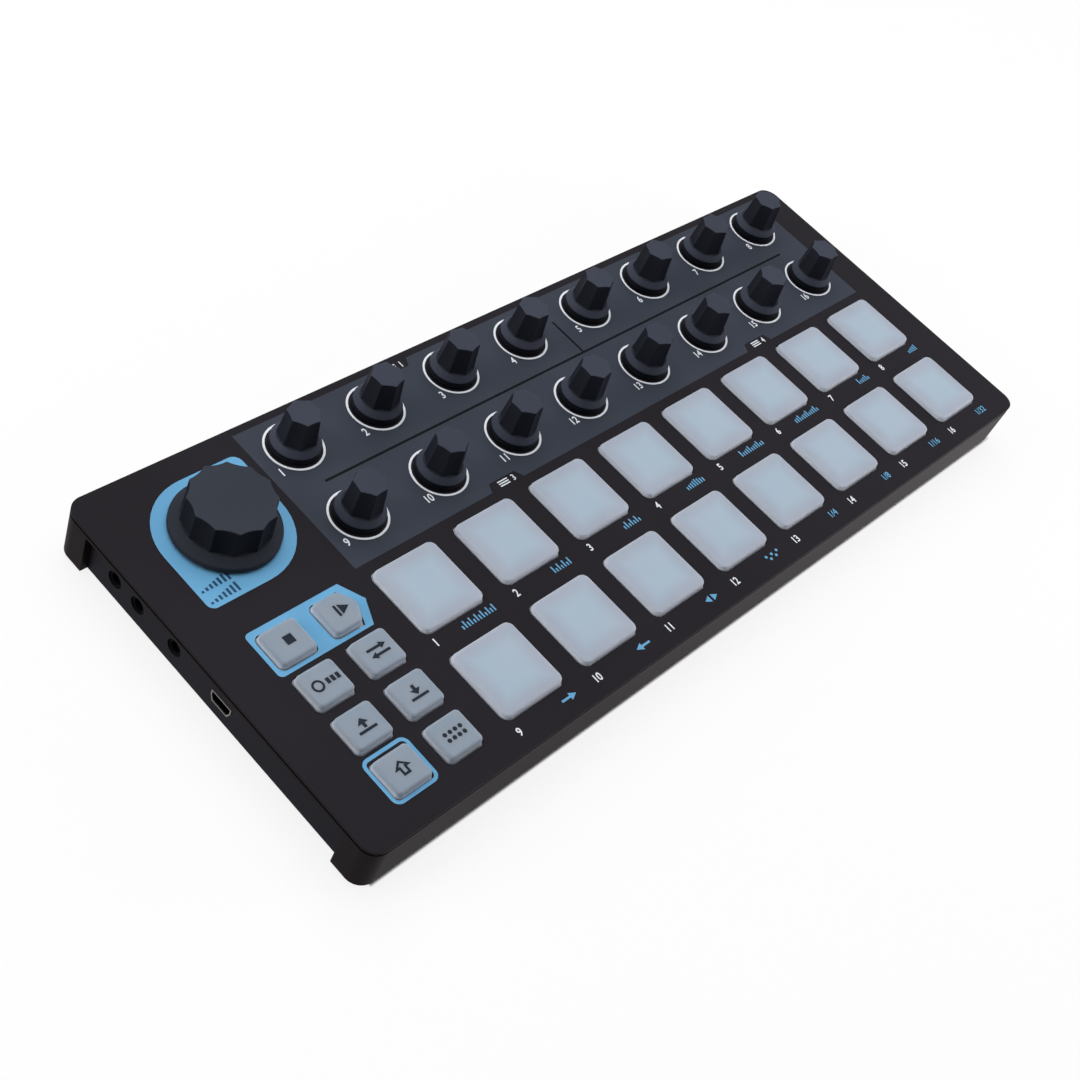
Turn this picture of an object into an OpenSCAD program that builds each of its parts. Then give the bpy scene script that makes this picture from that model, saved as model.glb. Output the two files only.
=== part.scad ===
// Table-top pad controller: two rows of pads and of endless knobs, a large level knob and soft buttons.
// Millimetres. +X runs along the pad rows, +Y to the back, +Z up.
// The origin is under the middle of the case, at the table that the feet stand on.

/* [Columns, from left to right] */
// Left edge of the case to the first column of buttons
button_margin = 21.6; // [20:0.2:26]
// Spacing of the two button columns
button_col_pitch = 18; // [17.4:0.1:22]
// Last column of buttons to the first column of pads
pad_lead = 26.8; // [26.6:0.2:34]
// Spacing of the pad and knob columns
key_pitch = 31.25; // [29:0.25:36]
// Last column of pads to the right edge of the case
right_margin = 25.85; // [23:0.05:34]
// Left edge of the case to the level knob
level_from_left = 31.2; // [30:0.2:34]

/* [Rows, from front to back] */
// Front edge of the case to the front row of pads
pad_front_margin = 21.15; // [18.5:0.05:26]
// Spacing of the two rows of pads
pad_row_pitch = 31.7; // [29:0.1:36]
// Back row of pads to the front row of knobs
knob_lead = 29.1; // [24:0.1:36]
// Spacing of the two rows of knobs
knob_row_pitch = 28; // [20:0.5:34]
// Back row of knobs to the back edge of the case
knob_back_margin = 13.55; // [13:0.05:20]
// Front edge of the case to the front row of buttons
button_front_margin = 14.25; // [12:0.05:16]
// Spacing of the rows of buttons
button_row_pitch = 14.85; // [14.6:0.05:15.4]
// Back edge of the case to the level knob
level_from_back = 27.15; // [22:0.05:28]

/* [Case] */
// Height of the case, from its lower edge to the face of the top plate
case_h = 16.5; // [15.5:0.5:22]
// Corner radius of the case in plan
corner_r = 5; // [4:0.5:7]
// Thickness of the side walls
wall = 2.4; // [1.8:0.1:3]
// Thickness of the top plate
plate_t = 1; // [0.8:0.1:1.6]
// Height of the shadow gap under the top plate
groove_h = 0.7; // [0.4:0.1:1]
// Depth of the shadow gap under the top plate
groove_d = 0.8; // [0.4:0.1:1.2]
// Thickness of the base plate
base_t = 1.2; // [0.8:0.1:1.6]
// Length of the corner legs beside the recess in the left end
leg = 10.45; // [10:0.05:14]
// Height of the case rim left above that recess
rim_h = 0.9; // [0.6:0.1:1.5]
// Thickness of the recessed connector plate
connector_t = 1.6; // [1.2:0.1:2]
// Height of the rubber feet
foot_h = 1.8; // [1.6:0.1:3]
// Radius of the rubber feet
foot_r = 5; // [4:0.5:6]
// Edge of the case to a foot's centre
foot_inset = 15; // [14:0.5:18]

/* [Pads] */
// Side of a pad's face
pad_w = 23; // [20:0.5:24]
// Corner radius of a pad
pad_r = 2.4; // [1.5:0.1:3.5]
// Height of a pad above the top plate
pad_rise = 1.5; // [1.2:0.1:2.5]
// Travel of a pad
pad_travel = 1; // [0.6:0.1:1.2]

/* [Buttons] */
// Width of a button
button_w = 12.2; // [10.5:0.1:12.6]
// Depth of a button
button_d = 11.4; // [10:0.1:11.6]
// Corner radius of a button
button_r = 1.6; // [1:0.1:2.5]
// Height of a button above the top plate
button_rise = 2.1; // [1.6:0.1:3]
// Length of the point at the right end of the play button
play_point = 2.8; // [1:0.1:4]
// Travel of a button
button_travel = 1; // [0.6:0.1:1.2]

/* [Small knobs] */
// Radius of the round flange at a knob's foot
knob_flange_r = 7.5; // [7:0.1:8.2]
// Radius of the ridges at the foot of the fluted grip
knob_grip_r = 6; // [5.5:0.1:6.5]
// Radius of the ridges at the top of the fluted grip
knob_top_r = 5.1; // [4.6:0.1:5.6]
// Height of the knob above the top plate
knob_rise = 14; // [12:0.5:18]
// Height of the flange's rim above the top plate
knob_flange_z = 2.8; // [2.2:0.1:3.4]
// Height of the sloping shoulder between the flange's rim and the grip
knob_shoulder = 1.7; // [1:0.1:2.4]
// Number of flutes
knob_flutes = 7; // [6:1:10]
// Depth of a flute below the line between two ridges
knob_flute_depth = 0.2; // [0.1:0.05:0.6]

/* [Level knob] */
// Radius of the round flange at the knob's foot
level_flange_r = 15.3; // [13.8:0.1:16]
// Radius of the ridges at the foot of the fluted grip
level_grip_r = 12.6; // [12:0.1:13.4]
// Radius of the ridges at the top of the fluted grip
level_top_r = 12.3; // [11.5:0.1:13]
// Height of the knob above the top plate
level_rise = 13; // [11:0.5:16]
// Height of the flange's rim above the top plate
level_flange_z = 2.5; // [2:0.1:3.2]
// Height of the sloping shoulder between the flange's rim and the grip
level_shoulder = 1.5; // [0.8:0.1:2.2]
// Number of flutes
level_flutes = 12; // [10:1:16]
// Depth of a flute below the line between two ridges
level_flute_depth = 0.5; // [0.2:0.05:0.8]
// Thickness of the grip's wall and top
level_wall = 2; // [1.6:0.1:2.4]

/* [Encoders and boards] */
// Side of an encoder's square body
encoder_w = 12; // [11:0.5:13]
// Height of an encoder's body
encoder_h = 6.5; // [5.5:0.1:7]
// Radius of an encoder's shaft
shaft_r = 3; // [2.8:0.05:3.1]
// Wall of an encoder's bushing
bushing_wall = 0.45; // [0.35:0.05:0.6]
// Height of the bushing above the encoder's body
bushing_h = 4.6; // [3:0.1:5.5]
// Depth of the flat on the shaft's end
flat_depth = 1.5; // [0.8:0.1:1.6]
// Thickness of the circuit boards
board_t = 1.6; // [1.2:0.1:2]

/* [Sockets] */
// Back edge of the case to the rear jack
jack_1_from_back = 21; // [18:0.1:23]
// Rear jack to the middle jack
jack_2_step = 9.55; // [8.6:0.05:11]
// Middle jack to the front jack
jack_3_step = 15.4; // [9:0.1:18]
// Front jack to the USB socket
usb_step = 19.4; // [12:0.1:22]
// Height of the jacks above the lower edge of the case
jack_z = 6.7; // [6.6:0.1:7]
// Radius of a jack's bore
jack_bore_r = 1.8; // [1.76:0.02:1.9]
// Radius of a jack's nose
jack_nose_r = 2.6; // [2.4:0.1:2.8]
// Width and height of a jack's body
jack_w = 5.4; // [5:0.1:5.6]
// Length of a jack's body
jack_l = 11.4; // [10:0.2:12]
// Outer width of the USB socket at its top
usb_w = 7.7; // [7.4:0.1:8]
// Outer height of the USB socket
usb_h = 3.9; // [3.7:0.1:4.1]
// Length of the USB socket
usb_l = 8.6; // [7:0.2:9]

/* [Hidden] */
$fn = 48;

// Clearances
slide_gap = 0.4; // around a key in its opening
seat_gap = 0.1; // between a key's lip and the plate above it
run_gap = 0.05; // shaft in its bushing, and screws in their holes
free_gap = 0.5; // between pieces that only pass each other
hole_gap = 0.2; // round a bushing in the top plate
eps = 0.01; // overshoot of cuts

// Layout in plan
columns = 8;
case_w = button_margin + button_col_pitch + pad_lead + (columns - 1) * key_pitch + right_margin;
case_d = pad_front_margin + pad_row_pitch + knob_lead + knob_row_pitch + knob_back_margin;
x_left = -case_w / 2;
x_right = case_w / 2;
y_front = -case_d / 2;
y_back = case_d / 2;
button_x = [for (c = [0:1]) x_left + button_margin + c * button_col_pitch];
button_y = [for (r = [0:3]) y_front + button_front_margin + (3 - r) * button_row_pitch];
key_x = [for (c = [0:columns - 1]) button_x[1] + pad_lead + c * key_pitch];
pad_y = [y_front + pad_front_margin + pad_row_pitch, y_front + pad_front_margin];
knob_y = [y_back - knob_back_margin, y_back - knob_back_margin - knob_row_pitch];
level_pos = [x_left + level_from_left, y_back - level_from_back];
pad_spots = [for (y = pad_y) for (x = key_x) [x, y]];
knob_spots = [for (y = knob_y) for (x = key_x) [x, y]];
encoder_spots = concat(knob_spots, [level_pos]);
button_spots = [for (y = button_y) for (x = button_x) [x, y]];
key_hole_w = button_w + 2 * slide_gap;
key_hole_d = button_d + 2 * slide_gap;
play_spot = button_spots[1];
plain_spots = [for (i = [0, 2, 3, 4, 5, 6, 7]) button_spots[i]];

// Levels
case_z = foot_h;
top_z = case_z + case_h;
plate_z = top_z - plate_t;
base_z = case_z + base_t;
board_top = plate_z - encoder_h;
board_z = board_top - board_t;
bushing_top = plate_z + bushing_h;

// Keys
lip = 1.2;
lip_t = 1.2;
lip_top = plate_z - seat_gap;
lip_z = lip_top - lip_t;
frame_wall = 1.2;
frame_r = 1;
sensor_t = 0.3;
sensor_inset = 2.5;
sensor_r = 1;
core_inset = 3;
button_core_r = 1;
led_r = 1.2;
led_h = 0.8;
led_well_r = 2.6;
contact_r = 3;
contact_t = 0.3;
pad_foot_z = board_top + sensor_t + pad_travel + seat_gap;
button_foot_z = board_top + contact_t + button_travel + seat_gap;
led_well_z = board_top + led_h + pad_travel + free_gap;

// Shafts
bore_r = shaft_r + run_gap;
bushing_r = bore_r + bushing_wall;
plate_hole_r = bushing_r + hole_gap;
bushing_seat = 1.5; // of a bushing in its encoder's body
well_gap = 0.3; // round a shaft below its bushing
encoder_r = 0.8; // corners of an encoder's body
knob_gap = 0.5; // under a knob's flange
shaft_cover = 2; // of a knob above its shaft's end
encoder_floor = 1.4;
ridge_bite = 0.03; // by which neighbouring flutes meet inside the cone
grip_bite = 0.2; // of a grip's foot in its shoulder
knob_turns = [35, 3, 1, 37, 13, 25, 15, 33, 42, 17, 0, 48, 14, 13, 8, 41]; // of a ridge of each knob at rest
hub_wall = 2; // of the level knob's hub round the shaft

// Screw bosses, from the walls inwards
boss_r = 3.4;
stud_r = 2.2;
boss_bite = 0.5;
screw_r = 1.4;
screw_head_r = 2.7;
screw_head_t = 1.3;
screw_l = 8;
boss_in = wall + boss_r - boss_bite;
inner_r_min = 1;
inner_r = max(corner_r - wall, inner_r_min);
boss_x = [x_left + boss_in, x_right - boss_in];
boss_y = [y_front + boss_in, y_back - boss_in];
mid_2_3 = (key_x[1] + key_x[2]) / 2;
mid_6_7 = (key_x[5] + key_x[6]) / 2;
button_pad_mid = (button_x[1] + button_w / 2 + key_x[0] - pad_w / 2) / 2;
boss_spots = concat(
    [for (x = boss_x) for (y = boss_y) [x, y]],
    [[mid_2_3, boss_y[1]], [mid_6_7, boss_y[1]], [button_pad_mid, boss_y[0]], [boss_x[1], pad_y[0]]]
);

// Left end
recess_w = case_d - 2 * leg;
recess_top = plate_z - groove_h - rim_h;
connector_x = x_left + wall;
connector_in = connector_x + connector_t;
connector_lap = 1.2;
connector_w = recess_w + 2 * connector_lap;
jack_y = [y_back - jack_1_from_back, y_back - jack_1_from_back - jack_2_step,
    y_back - jack_1_from_back - jack_2_step - jack_3_step];
usb_y = jack_y[2] - usb_step;
jack_mid = case_z + jack_z;
io_top = jack_mid - jack_w / 2;
io_z = io_top - board_t;
jack_sink = 0.5; // of a jack's nose behind the connector plate's face
usb_proud = 0.2; // of the USB shell before the connector plate's face
usb_shell_t = 0.35;
usb_taper = 0.9; // narrowing of the socket at each side, from top to bottom
io_margin = 6;
io_depth = 25;

// Boards
key_reach = pad_w / 2 + lip + slide_gap + frame_wall;
button_reach = button_w / 2 + lip + slide_gap + frame_wall;
board_x0 = button_x[0] - button_reach;
board_x1 = key_x[columns - 1] + key_reach;
board_y0 = pad_y[1] - key_reach;
board_margin = 1;
board_y1 = knob_y[0] + encoder_w / 2 + board_margin;
jack_notch_x = connector_in + jack_l + free_gap;
jack_notch_y = jack_y[2] - jack_w / 2 - free_gap;
post_r = 2.6;
board_screw_r = 0.8;
board_screw_head_r = 1.6;
board_screw_head_t = 1.2;
board_screw_l = 5;
knob_row_mid = (knob_y[0] + knob_y[1]) / 2;
post_spots = concat(
    [for (c = [0, 3, 6]) [(key_x[c] + key_x[c + 1]) / 2, knob_row_mid]],
    [[button_pad_mid, pad_y[0]], [button_pad_mid, pad_y[1]]]
);
io_post_inset = 4;
io_post_spots = [for (x = [connector_in + io_post_inset, connector_in + io_depth - io_post_inset])
    for (y = [jack_y[0], usb_y]) [x, y]];

// A rectangle with round corners, centred
module rounded(w, d, r) {
    square([w - 2 * r, d], center = true);
    square([w, d - 2 * r], center = true);
    for (sx = [-1, 1]) {
        for (sy = [-1, 1]) {
            translate([sx * (w / 2 - r), sy * (d / 2 - r)]) circle(r);
        }
    }
}

// A rounded rectangle whose right end comes to a point
module pointed(w, d, r) {
    neck = w / 2 - play_point;
    intersection() {
        rounded(w, d, r);
        polygon([[-w / 2, -d / 2], [neck, -d / 2], [w / 2, 0], [neck, d / 2], [-w / 2, d / 2]]);
    }
}

// A rounded block from one level up to another
module block(w, d, r, z0, z1) {
    translate([0, 0, z0]) linear_extrude(z1 - z0) rounded(w, d, r);
}

// A block with a pointed right end
module pointed_block(w, d, r, z0, z1) {
    translate([0, 0, z0]) linear_extrude(z1 - z0) pointed(w, d, r);
}

// An upright cylinder from one level up to another
module rod(r, z0, z1) {
    translate([0, 0, z0]) cylinder(r = r, h = z1 - z0);
}

// An upright cone from one level up to another
module cone(r0, r1, z0, z1) {
    translate([0, 0, z0]) cylinder(r1 = r0, r2 = r1, h = z1 - z0);
}

module at(spots) {
    for (p = spots) translate([p[0], p[1], 0]) children();
}

module top_plate() {
    color([0.15, 0.15, 0.17]) {
        difference() {
            block(case_w, case_d, corner_r, plate_z, top_z);
            at(pad_spots) block(pad_w + 2 * slide_gap, pad_w + 2 * slide_gap, pad_r + slide_gap,
                plate_z - eps, top_z + eps);
            at(plain_spots) block(key_hole_w, key_hole_d, button_r + slide_gap, plate_z - eps, top_z + eps);
            at([play_spot])
                pointed_block(key_hole_w, key_hole_d, button_r + slide_gap, plate_z - eps, top_z + eps);
            at(encoder_spots) rod(plate_hole_r, plate_z - eps, top_z + eps);
        }
        at(boss_spots) difference() {
            rod(stud_r, base_z + free_gap, plate_z);
            rod(screw_r + run_gap, base_z, base_z + screw_l + free_gap);
        }
    }
}

module case_frame() {
    color([0.2, 0.18, 0.18]) difference() {
        union() {
            difference() {
                union() {
                    block(case_w, case_d, corner_r, case_z, plate_z - groove_h);
                    block(case_w - 2 * groove_d, case_d - 2 * groove_d, corner_r - groove_d, case_z, plate_z);
                }
                block(case_w - 2 * wall, case_d - 2 * wall, inner_r, case_z - eps, plate_z + eps);
            }
            at(boss_spots) rod(boss_r, base_z, plate_z);
        }
        at(boss_spots) rod(stud_r + run_gap, base_z - eps, plate_z + eps);
        translate([x_left - eps, -recess_w / 2, case_z - eps])
            cube([wall + eps, recess_w, recess_top - case_z + eps]);
    }
}

module usb_outline(grow) {
    w = usb_w / 2 + grow;
    h = usb_h / 2 + grow;
    n = w - usb_taper;
    polygon([[-w, h], [w, h], [w, 0], [n, -h], [-n, -h], [-w, 0]]);
}

// The socket's outline, drawn along +X from x0 to x1
module usb_prism(grow, x0, x1) {
    translate([x0, usb_y, io_top + usb_h / 2]) rotate([90, 0, 90]) linear_extrude(x1 - x0) usb_outline(grow);
}

// A cylinder along +X from x0 to x1
module jack_rod(r, x0, x1) {
    for (y = jack_y) translate([x0, y, jack_mid]) rotate([0, 90, 0]) cylinder(r = r, h = x1 - x0);
}

module connector_plate() {
    color([0.16, 0.17, 0.18]) difference() {
        translate([connector_x, -connector_w / 2, case_z]) cube([connector_t, connector_w, plate_z - case_z]);
        jack_rod(jack_nose_r + run_gap, connector_x - eps, connector_in + eps);
        usb_prism(run_gap, connector_x - eps, connector_in + eps);
    }
}

module base_plate() {
    inset = 2 * wall + 2 * run_gap;
    slot_w = connector_w + 2 * run_gap;
    color([0.2, 0.2, 0.21]) difference() {
        union() {
            block(case_w - inset, case_d - inset, inner_r, case_z, base_z);
            at(post_spots) rod(post_r, base_z - eps, board_z);
            at(io_post_spots) rod(post_r, base_z - eps, io_z);
        }
        at(boss_spots) rod(screw_r + run_gap, case_z - eps, base_z + eps);
        at(post_spots) rod(board_screw_r, board_z - board_screw_l, board_z + eps);
        translate([connector_x, -slot_w / 2, case_z - eps])
            cube([connector_t + run_gap, slot_w, base_t + 2 * eps]);
    }
}

module rubber_feet() {
    color([0.08, 0.08, 0.08]) for (sx = [-1, 1]) {
        for (sy = [-1, 1]) {
            translate([sx * (x_right - foot_inset), sy * (y_back - foot_inset), 0]) rod(foot_r, 0, case_z);
        }
    }
}

module casing_screws() {
    color([0.5, 0.5, 0.52]) at(boss_spots) {
        rod(screw_head_r, case_z - screw_head_t, case_z);
        rod(screw_r, case_z - eps, base_z + screw_l);
    }
}

module main_board() {
    color([0.05, 0.25, 0.12]) difference() {
        translate([board_x0, board_y0, board_z]) cube([board_x1 - board_x0, board_y1 - board_y0, board_t]);
        translate([board_x0 - eps, jack_notch_y, board_z - eps])
            cube([jack_notch_x - board_x0, board_y1 - jack_notch_y + eps, board_t + 2 * eps]);
        at(boss_spots) rod(boss_r + free_gap, board_z - eps, board_top + eps);
        at(post_spots) rod(board_screw_r + run_gap, board_z - eps, board_top + eps);
    }
}

module io_board() {
    y0 = usb_y - usb_w / 2 - io_margin;
    y1 = jack_y[0] + jack_w / 2 + io_margin;
    color([0.05, 0.25, 0.12]) translate([connector_in, y0, io_z]) cube([io_depth, y1 - y0, board_t]);
}

module board_parts() {
    chip_t = 1.2;
    chip_z = board_z - chip_t / 2;
    processor_w = 10;
    memory_w = 6;
    regulator_w = 5;
    header_w = 4;
    header_l = 16;
    chip_y = (pad_y[0] + knob_y[1]) / 2;
    header_x = connector_in + io_depth - header_w;
    color([0.1, 0.1, 0.11]) {
        translate([key_x[3], chip_y, chip_z]) cube([processor_w, processor_w, chip_t], center = true);
        translate([key_x[4], chip_y, chip_z]) cube([memory_w, memory_w, chip_t], center = true);
        translate([key_x[5], chip_y, chip_z]) cube([regulator_w, regulator_w, chip_t], center = true);
        translate([header_x, usb_y - header_l / 2, io_top]) cube([header_w, header_l, board_z - io_top]);
    }
}

module board_screws() {
    color([0.6, 0.6, 0.62]) at(post_spots) {
        rod(board_screw_head_r, board_top, board_top + board_screw_head_t);
        rod(board_screw_r - run_gap, board_z - board_screw_l + free_gap, board_top + eps);
    }
}

module encoder_bodies() {
    color([0.35, 0.36, 0.38]) at(encoder_spots) difference() {
        block(encoder_w, encoder_w, encoder_r, board_top, plate_z);
        rod(shaft_r + well_gap, board_top + encoder_floor, plate_z + eps);
        rod(bushing_r + run_gap, plate_z - bushing_seat, plate_z + eps);
    }
}

module encoder_bushings() {
    color([0.7, 0.7, 0.68]) at(encoder_spots) difference() {
        rod(bushing_r, plate_z - bushing_seat, bushing_top);
        rod(bore_r, plate_z - bushing_seat - eps, bushing_top + eps);
    }
}

// A grid of pockets, one round each key
module key_frame(spots, w, d, r) {
    pocket_w = w + 2 * lip + 2 * slide_gap;
    pocket_d = d + 2 * lip + 2 * slide_gap;
    pocket_r = r + lip + slide_gap;
    last = spots[len(spots) - 1];
    frame_w = abs(last[0] - spots[0][0]) + pocket_w + 2 * frame_wall;
    frame_d = abs(last[1] - spots[0][1]) + pocket_d + 2 * frame_wall;
    color([0.12, 0.12, 0.13]) difference() {
        translate([(last[0] + spots[0][0]) / 2, (last[1] + spots[0][1]) / 2, 0])
            block(frame_w, frame_d, frame_r, board_top, plate_z);
        at(spots) block(pocket_w, pocket_d, pocket_r, board_top - eps, plate_z + eps);
        at(boss_spots) rod(boss_r + free_gap, board_top - eps, plate_z + eps);
    }
}

module pad_frame() {
    key_frame(pad_spots, pad_w, pad_w, pad_r);
}

module button_frame() {
    key_frame(button_spots, button_w, button_d, button_r);
}

module pad_sensors() {
    w = pad_w - 2 * sensor_inset;
    color([0.75, 0.55, 0.25]) at(pad_spots) difference() {
        block(w, w, sensor_r, board_top, board_top + sensor_t);
        rod(led_well_r, board_top - eps, board_top + sensor_t + eps);
    }
}

module pad_leds() {
    color([0.9, 0.9, 0.85]) at(pad_spots) rod(led_r, board_top, board_top + led_h);
}

module button_contacts() {
    color([0.8, 0.65, 0.3]) at(button_spots) rod(contact_r, board_top, board_top + contact_t);
}

module jack_sockets() {
    color([0.05, 0.05, 0.05]) difference() {
        union() {
            for (y = jack_y) translate([connector_in, y - jack_w / 2, io_top]) cube([jack_l, jack_w, jack_w]);
            jack_rod(jack_nose_r, connector_x + jack_sink, connector_in + eps);
        }
        jack_rod(jack_bore_r, connector_x, connector_in + jack_l - connector_t);
    }
}

module usb_socket() {
    x0 = connector_x - usb_proud;
    tongue_w = usb_w - 2 * usb_taper - 4 * usb_shell_t;
    tongue_t = 0.8;
    tongue_back = 1.2;
    color([0.7, 0.7, 0.72]) difference() {
        usb_prism(0, x0, x0 + usb_l);
        usb_prism(-usb_shell_t, x0 - eps, x0 + usb_l + eps);
    }
    color([0.08, 0.08, 0.08]) {
        usb_prism(-usb_shell_t - run_gap, x0 + usb_l - tongue_back, x0 + usb_l);
        translate([x0 + tongue_back, usb_y - tongue_w / 2, io_top + usb_h / 2 - tongue_t / 2])
            cube([usb_l - 2 * tongue_back + eps, tongue_w, tongue_t]);
    }
}

// A leaning cylinder that cuts the last of some flutes into a cone
module flute_cutter(r0, r1, z0, z1, flutes, depth, place) {
    half = 180 / flutes;
    chord = r0 * sin(half);
    flute_r = (chord * chord + depth * depth) / (2 * depth);
    axis_d = r0 * cos(half) - depth - ridge_bite + flute_r;
    h = z1 - z0;
    lean = atan((r0 - r1) * cos(half) / h);
    over = 2;
    rotate((2 * place - 1) * half) translate([axis_d, 0, z0]) rotate([0, -lean, 0])
        translate([0, 0, -over]) cylinder(r = flute_r, h = h + 2 * over);
}

// A cone with concave flutes up its slope, cut one after another, so that sharp ridges are left between them
module fluted_cone(r0, r1, z0, z1, flutes, depth, count) {
    difference() {
        if (count == 1) {
            cone(r0, r1, z0, z1);
        } else {
            fluted_cone(r0, r1, z0, z1, flutes, depth, count - 1);
        }
        flute_cutter(r0, r1, z0, z1, flutes, depth, count);
    }
}

// An encoder shaft: round in its bushing, with a flat on the end that a knob grips
module encoder_shaft(top) {
    difference() {
        rod(shaft_r, board_top + encoder_floor + free_gap, top);
        translate([shaft_r - flat_depth, -shaft_r, bushing_top + free_gap])
            cube([2 * shaft_r, 2 * shaft_r, top - bushing_top]);
    }
}

// The hole in a knob that its shaft fills
module shaft_hole(top) {
    difference() {
        rod(shaft_r + run_gap, top_z, top + run_gap);
        translate([shaft_r - flat_depth + run_gap, -2 * shaft_r, bushing_top + free_gap + run_gap])
            cube([4 * shaft_r, 4 * shaft_r, top - bushing_top]);
    }
    rod(bushing_r + free_gap, top_z, bushing_top + free_gap);
}

module small_knob(index) {
    spot = knob_spots[index];
    rim_z = top_z + knob_flange_z;
    grip_z = rim_z + knob_shoulder;
    knob_top = top_z + knob_rise;
    shaft_top = knob_top - shaft_cover;
    translate([spot[0], spot[1], 0]) {
        color([0.13, 0.14, 0.16]) difference() {
            union() {
                rod(knob_flange_r, top_z + knob_gap, rim_z);
                cone(knob_flange_r, knob_grip_r, rim_z, grip_z);
                rotate(knob_turns[index]) fluted_cone(knob_grip_r, knob_top_r, grip_z - grip_bite, knob_top,
                    knob_flutes, knob_flute_depth, knob_flutes);
            }
            shaft_hole(shaft_top);
        }
        color([0.6, 0.6, 0.6]) encoder_shaft(shaft_top);
    }
}

module level_knob() {
    rim_z = top_z + level_flange_z;
    grip_z = rim_z + level_shoulder;
    knob_top = top_z + level_rise;
    shaft_top = knob_top - shaft_cover;
    hub_r = shaft_r + hub_wall;
    hollow_r = level_top_r * cos(180 / level_flutes) - level_flute_depth - level_wall;
    translate([level_pos[0], level_pos[1], 0]) {
        color([0.15, 0.15, 0.17]) difference() {
            union() {
                rod(level_flange_r, top_z + knob_gap, rim_z);
                cone(level_flange_r, level_grip_r, rim_z, grip_z);
                fluted_cone(level_grip_r, level_top_r, grip_z - grip_bite, knob_top, level_flutes,
                    level_flute_depth, level_flutes);
            }
            difference() {
                rod(hollow_r, top_z, knob_top - level_wall);
                rod(hub_r, top_z - eps, knob_top);
            }
            shaft_hole(shaft_top);
        }
        color([0.6, 0.6, 0.6]) encoder_shaft(shaft_top);
    }
}

module pad(spot) {
    core_w = pad_w - 2 * core_inset;
    color([0.75, 0.78, 0.84]) translate([spot[0], spot[1], 0]) difference() {
        union() {
            block(pad_w, pad_w, pad_r, lip_z, top_z + pad_rise);
            block(pad_w + 2 * lip, pad_w + 2 * lip, pad_r + lip, lip_z, lip_top);
            block(core_w, core_w, pad_r, pad_foot_z, lip_z + eps);
        }
        rod(led_well_r, pad_foot_z - eps, led_well_z);
    }
}

// What every button has under the top plate
module button_foot() {
    core_w = button_w - 2 * core_inset;
    core_d = button_d - 2 * core_inset;
    block(button_w + 2 * lip, button_d + 2 * lip, button_r + lip, lip_z, lip_top);
    block(core_w, core_d, button_core_r, button_foot_z, lip_z + eps);
}

module button(spot) {
    color([0.62, 0.65, 0.7]) translate([spot[0], spot[1], 0]) {
        block(button_w, button_d, button_r, lip_z, top_z + button_rise);
        button_foot();
    }
}

module play_button() {
    color([0.62, 0.65, 0.7]) translate([play_spot[0], play_spot[1], 0]) {
        pointed_block(button_w, button_d, button_r, lip_z, top_z + button_rise);
        button_foot();
    }
}

top_plate();
case_frame();
connector_plate();
base_plate();
rubber_feet();
casing_screws();
main_board();
io_board();
board_parts();
board_screws();
encoder_bodies();
encoder_bushings();
pad_frame();
pad_sensors();
pad_leds();
button_frame();
button_contacts();
jack_sockets();
usb_socket();
level_knob();
for (i = [1:16]) small_knob(i - 1);
for (i = [1:16]) pad(pad_spots[i - 1]);
button(button_spots[0]);  // stop_button
play_button();
button(button_spots[2]);  // mode_button
button(button_spots[3]);  // sync_button
button(button_spots[4]);  // recall_button
button(button_spots[5]);  // store_button
button(button_spots[6]);  // shift_button
button(button_spots[7]);  // channel_button
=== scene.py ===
import math

import bmesh
import bpy
from mathutils import Matrix, Vector


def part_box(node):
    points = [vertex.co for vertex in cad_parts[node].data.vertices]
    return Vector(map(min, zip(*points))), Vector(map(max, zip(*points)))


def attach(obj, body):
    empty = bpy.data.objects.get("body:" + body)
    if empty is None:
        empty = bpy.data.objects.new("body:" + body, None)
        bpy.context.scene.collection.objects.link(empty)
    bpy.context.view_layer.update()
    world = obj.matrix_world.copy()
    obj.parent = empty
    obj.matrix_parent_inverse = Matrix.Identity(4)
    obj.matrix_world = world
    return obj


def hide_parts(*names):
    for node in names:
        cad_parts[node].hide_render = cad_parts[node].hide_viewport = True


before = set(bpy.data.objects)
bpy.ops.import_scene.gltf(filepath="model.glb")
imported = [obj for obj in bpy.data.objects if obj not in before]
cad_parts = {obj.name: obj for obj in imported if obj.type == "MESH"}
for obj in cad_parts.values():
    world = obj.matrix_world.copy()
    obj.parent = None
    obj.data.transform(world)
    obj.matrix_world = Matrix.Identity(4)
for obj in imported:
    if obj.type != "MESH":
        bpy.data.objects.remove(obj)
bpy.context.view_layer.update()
scene = bpy.context.scene
scene.view_settings.view_transform = "Standard"
mm = 0.001
plateTop = 18.3  # upper face of the plate, in mm above the table
perRow = 8  # dials and pads stand in two rows of eight
gridCount = 2 * perRow
print("frame loaded:", len(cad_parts), "nodes")


# Camera

shot = {
    "place": (-340.258, -144.379, 352.676),  # mm in the part's frame
    "turn": (2.379650, -0.829258, 0.734689),  # axis times angle, world to lens
    "lens": 54.2791, "sensor": 36, "clip": 0.01,
}

turn = Vector(shot["turn"])
toLens = Matrix.Rotation(turn.length, 3, turn.normalized())
facing = toLens.transposed() @ Matrix.Diagonal((1, -1, -1))
cameraData = bpy.data.cameras.new("shotCamera")
cameraData.sensor_width = shot["sensor"]
cameraData.lens = shot["lens"]
cameraData.clip_start = shot["clip"]
camera = bpy.data.objects.new("shotCamera", cameraData)
camera.matrix_world = Matrix.Translation(Vector(shot["place"]) * mm) @ facing.to_4x4()
scene.collection.objects.link(camera)
scene.camera = camera
print("camera placed")


# Shader sums

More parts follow.
